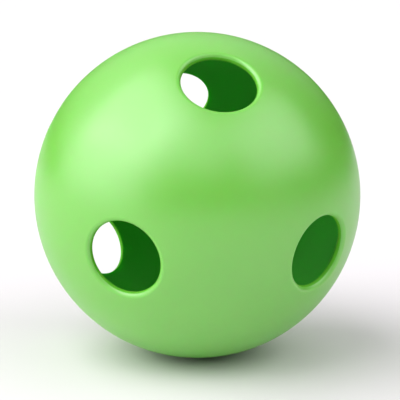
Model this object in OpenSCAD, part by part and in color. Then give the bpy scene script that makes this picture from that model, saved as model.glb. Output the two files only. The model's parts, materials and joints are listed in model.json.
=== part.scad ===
// Perforated plastic ball, moulded as two half shells that are welded together at a lapped seam.
// The origin is the centre of the ball, and +Z is up as the ball lies on a level surface.
// The front half shell faces -Y. The holes of one half face those of the other across the seam.

/* [Ball] */
// Outer diameter of the ball, in millimetres
ball_d = 74; // [70:0.5:78]
// Thickness of the shell wall
wall = 1.6; // [1.2:0.1:2.4]
// How far the ball has rolled back, as the rise of its front pole above level, in degrees
tip = 9; // [0:1:30]

/* [Holes] */
// How many holes each half shell has
holes_per_half = 3; // [2:1:4]
// Diameter of each hole
hole_d = 16.2; // [10:0.1:19]
// Angle between the pole of a half shell and the middle of each of its holes
hole_angle = 42.1; // [38:0.1:46]
// Width of the bevel that eases the outer edge of each hole
lip = 0.6; // [0.2:0.1:0.8]

/* [Seam] */
// Depth of the tongue that laps behind the rim of the rear half shell
lap = 1.2; // [0.8:0.1:2]
// Width of the weld ring where it shows on the outside
weld_w = 0.6; // [0.3:0.1:1]

/* [Colour] */
// Colour of the moulded plastic
plastic = "#7ecb58"; // ["#7ecb58":Lime, "#f4e04d":Yellow, "#ff8c2e":Orange]
// Colour of the plastic that melted in the weld
melted = "#6fbf4c"; // ["#6fbf4c":Lime, "#e6d23f":Yellow, "#f07d20":Orange]

/* [Hidden] */
$fn = 240;
ball_r = ball_d / 2;
inner_r = ball_r - wall;
hole_r = hole_d / 2;
// The tongue and the rim that it laps behind each take half of the wall
tongue_r = ball_r - wall / 2;
// Height above the ball's centre of a hole's outer edge, measured along the hole
edge_h = sqrt(pow(ball_r, 2) - pow(hole_r + lip, 2));
// How far a cutting shape runs past what it cuts
past = 1;

// Lays a shape that is drawn round the pole axis, with the front pole up, as the ball lies
module lie() {
    rotate([90 - tip, 0, 0]) children();
}

// The whole ball as one hollow sphere
module hollow_ball() {
    difference() {
        sphere(r = ball_r);
        sphere(r = inner_r);
    }
}

// All the space above a level, out to past the surface of the ball
module above(level) {
    translate([0, 0, level]) cylinder(r = ball_r + past, h = ball_r + past - level);
}

// The space inside the tongue's outer face, from the tongue's tip to beyond the seam
module tongue_space() {
    translate([0, 0, -lap]) cylinder(r = tongue_r, h = lap + weld_w);
}

// One hole through the wall along +Z, with its outer edge bevelled
module hole() {
    translate([0, 0, inner_r / 2]) cylinder(r = hole_r, h = ball_r);
    translate([0, 0, edge_h - lip]) cylinder(r1 = hole_r, r2 = hole_r + lip + past, h = lip + past);
}

// The ring of holes in the front half shell, the first of them above the pole
module holes() {
    for (i = [0 : holes_per_half - 1])
        rotate([0, 0, 90 + i * 360 / holes_per_half]) rotate([0, hole_angle, 0]) hole();
}

// The half shell that faces -Y, with the tongue on the inside of its rim
module front_half_shell() {
    color(plastic) lie() difference() {
        intersection() {
            hollow_ball();
            union() {
                above(weld_w / 2);
                tongue_space();
            }
        }
        holes();
    }
}

// The half shell that faces +Y, rebated on the inside of its rim to take the tongue
module rear_half_shell() {
    color(plastic) lie() difference() {
        hollow_ball();
        above(-weld_w / 2);
        tongue_space();
        mirror([0, 0, 1]) holes();
    }
}

// The ring of melted plastic that fills the joint between the two rims and closes the seam
module weld_ring() {
    color(melted) lie() intersection() {
        sphere(r = ball_r);
        difference() {
            cylinder(r = ball_r + past, h = weld_w, center = true);
            cylinder(r = tongue_r, h = weld_w + past, center = true);
        }
    }
}

front_half_shell();
rear_half_shell();
weld_ring();
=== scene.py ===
"""A perforated plastic ball of two half shells with a weld ring between them, on a pale studio floor.

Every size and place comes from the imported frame, apart from the few finishing sizes named below.
"""

import json
import math

import bpy
import numpy as np
from mathutils import Matrix, Vector


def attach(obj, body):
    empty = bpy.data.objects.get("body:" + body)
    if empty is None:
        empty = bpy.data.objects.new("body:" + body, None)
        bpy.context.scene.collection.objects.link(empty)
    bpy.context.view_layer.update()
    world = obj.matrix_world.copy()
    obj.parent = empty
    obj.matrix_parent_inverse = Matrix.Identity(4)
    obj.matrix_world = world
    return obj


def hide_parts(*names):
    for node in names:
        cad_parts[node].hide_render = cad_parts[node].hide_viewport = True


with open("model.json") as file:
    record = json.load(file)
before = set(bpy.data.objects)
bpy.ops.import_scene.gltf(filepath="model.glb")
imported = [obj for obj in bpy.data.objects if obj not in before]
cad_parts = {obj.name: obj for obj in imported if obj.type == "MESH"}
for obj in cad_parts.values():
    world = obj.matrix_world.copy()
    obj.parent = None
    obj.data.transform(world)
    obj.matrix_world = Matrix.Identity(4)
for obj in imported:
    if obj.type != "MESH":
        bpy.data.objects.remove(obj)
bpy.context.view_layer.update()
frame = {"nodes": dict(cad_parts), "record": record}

# ---------------------------------------------------------------------------------------------
# Driving sizes, in metres and radians, read from the frame
# ---------------------------------------------------------------------------------------------
mounts = {m["name"]: m for m in frame["record"]["mounts"]}
BALL_R = -mounts["rest_point"]["pos_m"][2]
HOLE_R = mounts["front_top_hole"]["dims"]["r_mm"] / 1000
FRONT_HOLES = [Vector(mounts[f"front_{n}_hole"]["axis"]) for n in ("top", "left", "right")]
REAR_HOLES = [Vector(mounts[f"rear_{n}_hole"]["axis"]) for n in ("top", "left", "right")]
FRONT_POLE = sum(FRONT_HOLES, Vector()).normalized()
HOLE_ANGLE = FRONT_HOLES[0].angle(FRONT_POLE)
HOLES_PER_HALF = len(FRONT_HOLES)


def node_points(node):
    """The corners of a CAD node, as an array."""
    return np.array([v.co for v in frame["nodes"][node].data.vertices])


weld_points = node_points("weld_ring")
INNER_R = float(np.linalg.norm(node_points("rear_half_shell"), axis=1).min())
# The weld ring reaches this far each side of the seam plane, and inwards to the tongue
WELD_HALF = float((weld_points @ np.array(FRONT_POLE)).max())
TONGUE_R = float(np.linalg.norm(weld_points, axis=1).min())
LAP = float(-(node_points("front_half_shell") @ np.array(FRONT_POLE)).min())

# Finishing sizes of the moulding
LIP_R = 0.00095  # rounding of each hole's outer edge
INNER_LIP_R = 0.00022  # rounding of each hole's inner edge
RIM_R = 0.00012  # rounding of the rims at the seam
BEAD_DIP = 0.00003  # how far the weld bead's crown lies under the ball's surface
# The waves of the bead's crown: how many go round the ball, how high each is, and its phase in radians
BEAD_WAVES = ((5, 0.000006, 0.3), (17, 0.000004, 1.9), (41, 0.000004, 4.0), (97, 0.000003, 2.2))

# How finely the surfaces are divided
ARC_STEPS = 24  # steps along each third of a hole's half outline, and along each sixth of the seam
SPREAD_STEPS = 20  # steps from a hole's outline to the middle lines between holes, and to the seam
LIP_STEPS = 12  # across the rounding of a hole's outer edge
LIP_TURN = 9  # the step of that rounding at which the satin outside gives way to the matt wall
RIM_STEPS = 4  # across each of the small roundings
WALL_STEPS = 3  # along the straight wall of a hole
BEAD_STEPS = 8  # across the weld bead
BEAD_ROUND = 288  # round the weld bead
RELAX_ROUNDS = 60
RELAX_SHARE = 0.7  # how far each round moves a point towards the middle of its neighbours
HOLE_PATCHES = 3  # patches round each half of a hole
# Where the corner of the patches lies between two holes, measured from the pole
CORNER_ANGLE = math.radians(36)


# ---------------------------------------------------------------------------------------------
# Mesh building: patches of points with exact normals, joined into one closed skin
# ---------------------------------------------------------------------------------------------
JOIN = 1e-6  # points closer than this are one point
# The numbers of a piece's materials: on its outside, on its inner skin and on the walls of its holes
OUTSIDE, INSIDE, EDGE = 0, 1, 2


def joined(points):
    """(index of the first point at each place, the place of every point)."""
    _, first, place = np.unique(
        np.round(points / JOIN).astype(np.int64), axis=0, return_index=True, return_inverse=True
    )
    return first, place.reshape(-1)


def grid_faces(rows, columns):
    """The quads of a grid of points stored row by row."""
    corner = np.arange(rows * columns).reshape(rows, columns)
    quads = (corner[:-1, :-1], corner[:-1, 1:], corner[1:, 1:], corner[1:, :-1])
    return np.stack([q.ravel() for q in quads], axis=1)


class Skin:
    """Collects patches, and makes one mesh object whose shading follows the true normals."""

    def __init__(self):
        self.points, self.normals, self.faces, self.looks, self.count = [], [], [], [], 0

    def add(self, points, normals, faces, look=OUTSIDE):
        """Adds one patch, with the number of its material."""
        self.points.append(points)
        self.normals.append(normals)
        self.faces.append(faces + self.count)
        self.looks.append(np.full(len(faces), look, np.int32))
        self.count += len(points)

    def add_grid(self, points, normals, look=OUTSIDE):
        """Adds one patch whose points and normals lie in rows and columns."""
        rows, columns = points.shape[:2]
        self.add(points.reshape(-1, 3), normals.reshape(-1, 3), grid_faces(rows, columns), look)

    def make(self, name, matrix):
        """Joins the patches, turns them by the matrix and links the object to the scene."""
        points = np.concatenate(self.points)
        first, place = joined(points)
        normals = np.concatenate(self.normals)[first]
        points = points[first]
        faces = place[np.concatenate(self.faces)]
        # Each face turns so that it winds round its own outward normal
        corners = points[faces]
        across = np.cross(corners[:, 2] - corners[:, 0], corners[:, 3] - corners[:, 1])
        inward = (across * normals[faces].sum(axis=1)).sum(axis=1) < 0
        faces[inward] = faces[inward][:, ::-1]
        turn = np.array(matrix)
        mesh = bpy.data.meshes.new(name)
        mesh.from_pydata((points @ turn.T).tolist(), [], faces.tolist())
        mesh.polygons.foreach_set("material_index", np.concatenate(self.looks))
        mesh.shade_smooth()
        mesh.normals_split_custom_set_from_vertices((normals @ turn.T).tolist())
        piece = bpy.data.objects.new(name, mesh)
        bpy.context.scene.collection.objects.link(piece)
        return piece


def half_frame(axes):
    """The turn that takes a half shell's own frame, pole up and first hole over +X, to the ball's."""
    pole = sum(axes, Vector()).normalized()
    side = (axes[0] - pole * axes[0].dot(pole)).normalized()
    return Matrix((side, pole.cross(side), pole)).transposed()


def unit(vectors):
    """The vectors, each scaled to length 1."""
    return vectors / np.linalg.norm(vectors, axis=-1, keepdims=True)


def on_sphere(polar, azimuth):
    """Unit vectors at a polar angle and an azimuth about the pole."""
    polar, azimuth = np.broadcast_arrays(polar, azimuth)
    flat = np.sin(polar)
    return np.stack([flat * np.cos(azimuth), flat * np.sin(azimuth), np.cos(polar)], axis=-1)


# The first hole's own frame, before its half is laid in place: towards the pole, sideways, outwards
HOLE_FRAME = np.array([on_sphere(HOLE_ANGLE - math.pi / 2, 0.0), [0, 1, 0], on_sphere(HOLE_ANGLE, 0.0)])


def turned(vectors, azimuth):
    """Vectors turned about the pole."""
    c, s = math.cos(azimuth), math.sin(azimuth)
    return vectors @ np.array([[c, -s, 0], [s, c, 0], [0, 0, 1]]).T


def relaxed(points, faces, rounds):
    """A grid on the unit sphere with its inner points evened out, and its edges left where they are."""
    sides = np.concatenate([faces[:, [i, (i + 1) % 4]] for i in range(4)])
    edges, uses = np.unique(np.sort(sides, axis=1), axis=0, return_counts=True)
    fixed = np.zeros(len(points), bool)
    fixed[edges[uses == 1].ravel()] = True
    ends = np.concatenate([edges, edges[:, ::-1]])
    neighbours = np.bincount(ends[:, 0], minlength=len(points))[:, None]
    for _ in range(rounds):
        total = np.stack(
            [np.bincount(ends[:, 0], points[ends[:, 1], k], len(points)) for k in range(3)], axis=1
        )
        moved = unit(points + RELAX_SHARE * (total / neighbours - points))
        points = np.where(fixed[:, None], points, moved)
    return points


def pierced_cap(hole_edge, seam_edge):
    """Unit vectors and quads that cover a half shell, from its pole to the polar angle seam_edge, round
    holes whose outlines are hole_edge from their axes."""
    to_pole, across, axis = HOLE_FRAME
    sector = math.pi / HOLES_PER_HALF
    step = np.linspace(0, 1, ARC_STEPS + 1)
    spread = np.linspace(0, 1, SPREAD_STEPS + 1)[:, None, None]
    outsides = (
        on_sphere(CORNER_ANGLE * step, sector),
        on_sphere(CORNER_ANGLE + (seam_edge - CORNER_ANGLE) * step, sector),
        on_sphere(seam_edge, sector * (1 - step)),
    )
    patches = []
    for third, outside in enumerate(outsides):
        bearing = ((third + step) * math.pi / HOLE_PATCHES)[:, None]
        away = np.cos(bearing) * to_pole + across * np.sin(bearing)
        outline = math.cos(hole_edge) * axis + math.sin(hole_edge) * away
        patches.append(unit((1 - spread) * outline + spread * outside))
    points, faces, count = [], [], 0
    for hole in range(HOLES_PER_HALF):
        for mirror in (1, -1):
            for patch in patches:
                points.append(turned(patch * [1, mirror, 1], 2 * sector * hole).reshape(-1, 3))
                faces.append(grid_faces(*patch.shape[:2]) + count)
                count += len(points[-1])
    points = np.concatenate(points)
    first, place = joined(points * BALL_R)
    points, faces = points[first], place[np.concatenate(faces)]
    return relaxed(points, faces, RELAX_ROUNDS), faces


def arc(centre, radius, start, end, steps):
    """Points and outward normals (r, z) along an arc from one direction to another, both in radians."""
    angles = np.linspace(start, end, steps + 1)
    out = np.stack([np.cos(angles), np.sin(angles)], axis=1)
    return np.array(centre) + radius * out, out


def revolved(points, normals, steps):
    """The grids of a profile (r, z) turned about +Z."""
    around = np.linspace(0, 2 * math.pi, steps + 1)
    around[-1] = 0
    c, s = np.cos(around)[:, None], np.sin(around)[:, None]

    def swept(p):
        heights = np.broadcast_to(p[:, 1], (steps + 1, len(p)))
        return np.stack([p[:, 0] * c, p[:, 0] * s, heights], axis=-1)

    return swept(points), swept(normals)


def hole_profile():
    """The section of a hole's edge, from the ball's outside to its inside, and the angles from the
    hole's axis at which it leaves the outer and the inner sphere."""
    out_r, in_r = HOLE_R + LIP_R, HOLE_R + INNER_LIP_R
    out_z = math.sqrt((BALL_R - LIP_R) ** 2 - out_r**2)
    in_z = math.sqrt((INNER_R + INNER_LIP_R) ** 2 - in_r**2)
    out_up, in_up = math.atan2(out_z, out_r), math.atan2(in_z, in_r)
    outer, outer_n = arc((out_r, out_z), LIP_R, out_up, math.pi, LIP_STEPS)
    inner, inner_n = arc((in_r, in_z), INNER_LIP_R, math.pi, in_up + math.pi, RIM_STEPS)
    depth = np.linspace(out_z, in_z, WALL_STEPS + 1)[1:-1]
    wall = np.stack([np.full(len(depth), HOLE_R), depth], axis=1)
    wall_n = np.tile([-1.0, 0.0], (len(depth), 1))
    section = np.concatenate([outer, wall, inner])
    section_n = np.concatenate([outer_n, wall_n, inner_n])
    return section, section_n, math.pi / 2 - out_up, math.pi / 2 - in_up


def seam_profile(tongue_tip):
    """The section of a half shell's rim, from its outside to its inside, and the polar angles at which
    it leaves the outer and the inner sphere. The tongue's tip, or the floor of the rebate, is at
    tongue_tip."""
    out_z, in_z = WELD_HALF + RIM_R, tongue_tip + RIM_R
    out_r = math.sqrt((BALL_R - RIM_R) ** 2 - out_z**2)
    in_r = math.sqrt((INNER_R + RIM_R) ** 2 - in_z**2)
    out_up, in_up = math.atan2(out_z, out_r), math.atan2(in_z, in_r)
    down, up, inwards = -math.pi / 2, math.pi / 2, math.pi
    outer = arc((out_r, out_z), RIM_R, out_up, down, RIM_STEPS)
    inner = arc((in_r, in_z), RIM_R, down, in_up - inwards, RIM_STEPS)
    if tongue_tip < 0:
        # The step turns down along the tongue, and the tongue's tip turns in
        hollow = arc((TONGUE_R + RIM_R, WELD_HALF - RIM_R), RIM_R, up, inwards, RIM_STEPS)
        tip = arc((TONGUE_R - RIM_R, in_z), RIM_R, 0, down, RIM_STEPS)
        middle = [(hollow[0], -hollow[1]), tip]
    else:
        # The lip's end turns up into the rebate, whose floor takes the tongue's tip
        hollow = arc((TONGUE_R - RIM_R, tongue_tip - RIM_R), RIM_R, 0, up, RIM_STEPS)
        end = arc((TONGUE_R + RIM_R, out_z), RIM_R, down, -inwards, RIM_STEPS)
        middle = [end, (hollow[0], -hollow[1])]
    section, section_n = (np.concatenate(part) for part in zip(outer, *middle, inner))
    return section, section_n, math.pi / 2 - out_up, math.pi / 2 - in_up


def half_shell(name, axes, tongue_tip):
    """One moulded half: two pierced skins, the edges of its holes and its rim at the seam."""
    lip, lip_n, lip_outer, lip_inner = hole_profile()
    rim, rim_n, rim_outer, rim_inner = seam_profile(tongue_tip)
    skin = Skin()
    points, faces = pierced_cap(lip_outer, rim_outer)
    skin.add(points * BALL_R, points, faces)
    points, faces = pierced_cap(lip_inner, rim_inner)
    skin.add(points * INNER_R, -points, faces, INSIDE)
    skin.add_grid(*revolved(rim, rim_n, 2 * HOLES_PER_HALF * ARC_STEPS))
    lip, lip_n = revolved(lip, lip_n, 2 * HOLE_PATCHES * ARC_STEPS)
    for hole in range(HOLES_PER_HALF):
        azimuth = 2 * math.pi * hole / HOLES_PER_HALF
        edge, edge_n = turned(lip @ HOLE_FRAME, azimuth), turned(lip_n @ HOLE_FRAME, azimuth)
        skin.add_grid(edge[:, : LIP_TURN + 1], edge_n[:, : LIP_TURN + 1])
        skin.add_grid(edge[:, LIP_TURN:], edge_n[:, LIP_TURN:], EDGE)
    return skin.make(name, half_frame(axes))


def weld_bead(name, axes):
    """The ring of melted plastic that fills the seam, with a crown that wavers a little."""
    edge_r = math.sqrt((BALL_R - RIM_R) ** 2 - (WELD_HALF + RIM_R) ** 2)
    rise = BALL_R - BEAD_DIP - edge_r
    crown_r = (WELD_HALF**2 + rise**2) / (2 * rise)
    half_turn = math.asin(WELD_HALF / crown_r)
    outer, outer_n = arc((edge_r + rise - crown_r, 0), crown_r, half_turn, -half_turn, BEAD_STEPS)
    under = np.array([[TONGUE_R, -WELD_HALF], [TONGUE_R, WELD_HALF]])
    grid, grid_n = revolved(outer, outer_n, BEAD_ROUND)
    angles = np.linspace(0, 2 * math.pi, BEAD_ROUND + 1)
    waver = sum(size * np.sin(times * angles + start) for times, size, start in BEAD_WAVES)
    fullness = 1 - (outer[:, 1] / WELD_HALF) ** 2
    grid = grid * (1 + (waver[:, None] * fullness / BALL_R)[..., None] * [1, 1, 0])
    skin = Skin()
    skin.add_grid(grid, grid_n)
    back, back_n = revolved(under, np.array([[-1.0, 0.0], [-1.0, 0.0]]), BEAD_ROUND)
    skin.add_grid(back, back_n)
    for outer_edge, back_edge, facing in ((-1, 0, -1.0), (0, 1, 1.0)):
        side = np.stack([grid[:, outer_edge], back[:, back_edge]], axis=1)
        skin.add_grid(side, np.broadcast_to(np.array([0.0, 0.0, facing]), side.shape))
    return skin.make(name, half_frame(axes))


# ---------------------------------------------------------------------------------------------
# Materials
# ---------------------------------------------------------------------------------------------
# Each plastic: its darker and its paler colour, its roughness, the strength of its gloss, and the depth
# of its grain. The weld is the same plastic, a little smoother and deeper in colour where it melted.
PLASTICS = {
    "lime_plastic": ((0.168, 0.549, 0.051), (0.177, 0.567, 0.056), 0.35, 1.0, 0.0000025),
    # The inner skin is painted a paler, greener copy of the same plastic: painted green bounce light
    # inside the ball
    "lime_plastic_inside_painted_bounce": ((0.120, 0.660, 0.085), (0.130, 0.675, 0.095), 0.8, 0.1, 0.000005),
    # The walls of the holes are painted a darker, yellower copy of the same plastic: painted shade in
    # the holes, and a painted yellow glow where light shines through their rims
    "lime_plastic_edge_painted_shade_and_glow": ((0.125, 0.500, 0.030), (0.135, 0.515, 0.034), 0.8, 0.1, 0.000005),
    "weld_plastic": ((0.13, 0.48, 0.045), (0.168, 0.549, 0.051), 0.34, 0.8, 0.000002),
}
REFRACTION = 1.58
SCATTER_WEIGHT = 0.8
SCATTER_DEPTH = 0.0016  # how far green light gets into the plastic
SCATTER_BY_COLOUR = (0.25, 1.0, 0.2)  # how far red, green and blue get, as shares of that
ROUGHNESS_SPREAD = 0.025  # how far the roughness wanders each way
CLOUD_SCALE, SHEEN_SCALE, GRAIN_SCALE, RIPPLE_SCALE = 45, 160, 5200, 120  # noise cells in a metre
RIPPLE_DEPTH = 0.00002


def nodes_of(name):
    """A new material, its node tree, its Principled shader and its object coordinates."""
    material = bpy.data.materials.new(name)
    material.use_nodes = True
    tree = material.node_tree
    where = tree.nodes.new("ShaderNodeTexCoord").outputs["Object"]
    return material, tree, tree.nodes["Principled BSDF"], where


def noise(tree, where, scale, detail=2.0):
    """A noise value between 0 and 1; scale is the number of its cells in a metre."""
    node = tree.nodes.new("ShaderNodeTexNoise")
    node.inputs["Scale"].default_value = scale
    node.inputs["Detail"].default_value = detail
    tree.links.new(where, node.inputs["Vector"])
    return node.outputs["Fac"]


def spanned(tree, value, low, high, start=0.3, end=0.7):
    """The value carried from start..end to low..high."""
    node = tree.nodes.new("ShaderNodeMapRange")
    for key, number in (("From Min", start), ("From Max", end), ("To Min", low), ("To Max", high)):
        node.inputs[key].default_value = number
    tree.links.new(value, node.inputs["Value"])
    return node.outputs["Result"]


def mixed(tree, share, first, second):
    """The colour that lies between two by that share."""
    node = tree.nodes.new("ShaderNodeMix")
    node.data_type = "RGBA"
    node.inputs["A"].default_value = (*first, 1)
    node.inputs["B"].default_value = (*second, 1)
    tree.links.new(share, node.inputs["Factor"])
    return node.outputs["Result"]


def bumped(tree, shader, layers):
    """Chains one bump for each (height, depth in metres) on to the shader's normal."""
    normal = None
    for height, depth in layers:
        bump = tree.nodes.new("ShaderNodeBump")
        bump.inputs["Strength"].default_value = 1.0
        bump.inputs["Distance"].default_value = depth
        tree.links.new(height, bump.inputs["Height"])
        if normal:
            tree.links.new(normal, bump.inputs["Normal"])
        normal = bump.outputs["Normal"]
    tree.links.new(normal, shader.inputs["Normal"])


def moulded_plastic(name, dark, pale, rough, gloss, grain):
    """Polyethylene: an even pigment with faint flow clouds, slight ripples, and a fine mould grain of
    that depth."""
    material, tree, shader, where = nodes_of(name)
    clouds = noise(tree, where, CLOUD_SCALE)
    tree.links.new(mixed(tree, spanned(tree, clouds, 0, 1), dark, pale), shader.inputs["Base Color"])
    sheen = noise(tree, where, SHEEN_SCALE, detail=3)
    low, high = rough - ROUGHNESS_SPREAD, rough + ROUGHNESS_SPREAD
    tree.links.new(spanned(tree, sheen, low, high), shader.inputs["Roughness"])
    shader.inputs["IOR"].default_value = REFRACTION
    shader.inputs["Specular IOR Level"].default_value = gloss
    shader.inputs["Subsurface Weight"].default_value = SCATTER_WEIGHT
    shader.inputs["Subsurface Radius"].default_value = SCATTER_BY_COLOUR
    shader.inputs["Subsurface Scale"].default_value = SCATTER_DEPTH
    grains = noise(tree, where, GRAIN_SCALE)
    ripples = noise(tree, where, RIPPLE_SCALE, detail=1)
    bumped(tree, shader, ((grains, grain), (ripples, RIPPLE_DEPTH)))
    return material


# ---------------------------------------------------------------------------------------------
# The pieces
# ---------------------------------------------------------------------------------------------
front = half_shell("front_half", FRONT_HOLES, -LAP)
rear = half_shell("rear_half", REAR_HOLES, LAP)
bead = weld_bead("weld_bead", FRONT_HOLES)

outside, inside, edge, melted = (moulded_plastic(name, *look) for name, look in PLASTICS.items())
for piece, node, materials, slot in (
    (front, "front_half_shell", (outside, inside, edge), "lime_plastic"),
    (rear, "rear_half_shell", (outside, inside, edge), "lime_plastic"),
    (bead, "weld_ring", (melted,), "weld_plastic"),
):
    for material in materials:
        piece.data.materials.append(material)
    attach(piece, "root")
    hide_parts(node)

# ---------------------------------------------------------------------------------------------
# Floor, light and camera
# ---------------------------------------------------------------------------------------------
VIEW_AZIMUTH = math.radians(-11.25)
VIEW_HEIGHT = math.radians(10.57)
VIEW_ROLL = math.radians(0.716)  # the camera leans to its left by this
VIEW_RADII = 8.09  # the camera's distance, in ball radii
LENS = 117.84  # millimetres, with Blender's own 36 mm sensor
AIM_RIGHT, AIM_UP = 0.00061, -0.001147  # where the camera aims, from the ball's centre
NEAREST, FURTHEST = 0.01, 10  # between these distances the camera sees things

FLOOR_R = 3.0
FLOOR_SIDES = 128
# The paper's green is turned down a little: painted light that cancels the green glow which the ball
# throws on the floor
FLOOR_COLOUR = (0.769, 0.734, 0.763)
FLOOR_TONES = 0.995, 1.005  # the paper's darkest and palest tone, as shares of its colour
FLOOR_CLOUDS = 60  # noise cells in a metre
FLOOR_ROUGHNESS, FLOOR_GLOSS = 0.9, 0.2

# The studio's soft panels, as seen from the ball: azimuth from the camera's right hand, anticlockwise
# from above, then height, half width and half height, all in degrees, then how soft the edge is, as a
# share of the half size, and the radiance
PANELS = (
    (198, 54, 30, 24, 0.2, 2.9),
    (196, 18, 33, 18, 0.7, 2.75),
    (341, 39, 29, 20, 0.2, 1.9),
    (111, 41, 45, 22, 0.9, 0.84),
    (262, 44, 27, 19, 0.4, 1.45),
    (20, 70, 28, 18, 0.9, 0.6),
)
ROOM_RADIANCE = 0.01
EDGE_ON = 0.001  # the least cosine that a panel's offsets are divided by
IN_FRONT = 0.01  # the cosine from which a direction counts as towards a panel


def floor_disc():
    """A round sheet of pale paper, which the ball touches at its lowest point."""
    angles = np.linspace(0, 2 * math.pi, FLOOR_SIDES + 1)[:-1]
    ring = [(FLOOR_R * math.cos(a), FLOOR_R * math.sin(a), -BALL_R) for a in angles]
    mesh = bpy.data.meshes.new("floor")
    mesh.from_pydata(ring, [], [tuple(range(len(ring)))])
    floor = bpy.data.objects.new("floor", mesh)
    bpy.context.scene.collection.objects.link(floor)
    material, tree, shader, where = nodes_of("floor_paper")
    tones = [tuple(c * k for c in FLOOR_COLOUR) for k in FLOOR_TONES]
    tree.links.new(mixed(tree, noise(tree, where, FLOOR_CLOUDS), *tones), shader.inputs["Base Color"])
    shader.inputs["Roughness"].default_value = FLOOR_ROUGHNESS
    shader.inputs["Specular IOR Level"].default_value = FLOOR_GLOSS
    mesh.materials.append(material)
    return floor


def calculated(tree, operation, *inputs):
    """The result of a Math node; each input is a number or a socket."""
    node = tree.nodes.new("ShaderNodeMath")
    node.operation = operation
    for socket, given in zip(node.inputs, inputs):
        if isinstance(given, (int, float)):
            socket.default_value = given
        else:
            tree.links.new(given, socket)
    return node.outputs[0]


def dotted(tree, vector, direction):
    """The dot product of a vector socket and a constant direction."""
    node = tree.nodes.new("ShaderNodeVectorMath")
    node.operation = "DOT_PRODUCT"
    tree.links.new(vector, node.inputs[0])
    node.inputs[1].default_value = direction
    return node.outputs["Value"]


def faded(tree, value, start, end):
    """1 below start, 0 above end, and smooth between."""
    node = tree.nodes.new("ShaderNodeMapRange")
    node.interpolation_type = "SMOOTHSTEP"
    for key, number in (("From Min", start), ("From Max", end), ("To Min", 1), ("To Max", 0)):
        node.inputs[key].default_value = number
    tree.links.new(value, node.inputs["Value"])
    return node.outputs["Result"]


def soft_panel(tree, where, azimuth, height, half_width, half_height, softness, radiance):
    """The light of a flat rectangular panel with soft edges, far away."""
    a, e = math.radians(azimuth) + VIEW_AZIMUTH, math.radians(height)
    middle = Vector((math.cos(e) * math.cos(a), math.cos(e) * math.sin(a), math.sin(e)))
    sideways = Vector((0, 0, 1)).cross(middle).normalized()
    facing = calculated(tree, "MAXIMUM", dotted(tree, where, middle), EDGE_ON)
    light = calculated(tree, "MULTIPLY", radiance, calculated(tree, "GREATER_THAN", facing, IN_FRONT))
    for direction, half in ((sideways, half_width), (middle.cross(sideways), half_height)):
        aside = calculated(tree, "ABSOLUTE", dotted(tree, where, direction))
        offset = calculated(tree, "DIVIDE", aside, facing)
        border = math.tan(math.radians(half))
        within = faded(tree, offset, border * (1 - softness), border * (1 + softness))
        light = calculated(tree, "MULTIPLY", light, within)
    return light


def studio():
    """Soft panels in a dim room, which is a plain white backdrop where the camera sees it past the
    floor's edge."""
    world = bpy.data.worlds.new("studio")
    world.use_nodes = True
    tree = world.node_tree
    where = tree.nodes.new("ShaderNodeTexCoord").outputs["Generated"]
    light = ROOM_RADIANCE
    for panel in PANELS:
        light = calculated(tree, "ADD", light, soft_panel(tree, where, *panel))
    seen_directly = tree.nodes.new("ShaderNodeLightPath").outputs["Is Camera Ray"]
    light = calculated(tree, "MAXIMUM", light, seen_directly)
    sky = tree.nodes["Background"]
    sky.inputs["Color"].default_value = (1, 1, 1, 1)
    tree.links.new(light, sky.inputs["Strength"])
    return world


def camera():
    """The camera, at the photo's viewing angle."""
    sin_a, cos_a = math.sin(VIEW_AZIMUTH), math.cos(VIEW_AZIMUTH)
    sin_h, cos_h = math.sin(VIEW_HEIGHT), math.cos(VIEW_HEIGHT)
    back = Vector((sin_a * cos_h, -cos_a * cos_h, sin_h))
    right = Vector((cos_a, sin_a, 0))
    up = back.cross(right)
    data = bpy.data.cameras.new("view")
    data.lens = LENS
    data.clip_start, data.clip_end = NEAREST, FURTHEST
    holder = bpy.data.objects.new("view", data)
    turn = Matrix((right, up, back)).transposed().to_4x4() @ Matrix.Rotation(VIEW_ROLL, 4, "Z")
    turn.translation = right * AIM_RIGHT + up * AIM_UP + back * VIEW_RADII * BALL_R
    holder.matrix_world = turn
    bpy.context.scene.collection.objects.link(holder)
    return holder


floor_disc()
scene = bpy.context.scene
scene.world = studio()
scene.camera = camera()
scene.view_settings.view_transform = "Standard"
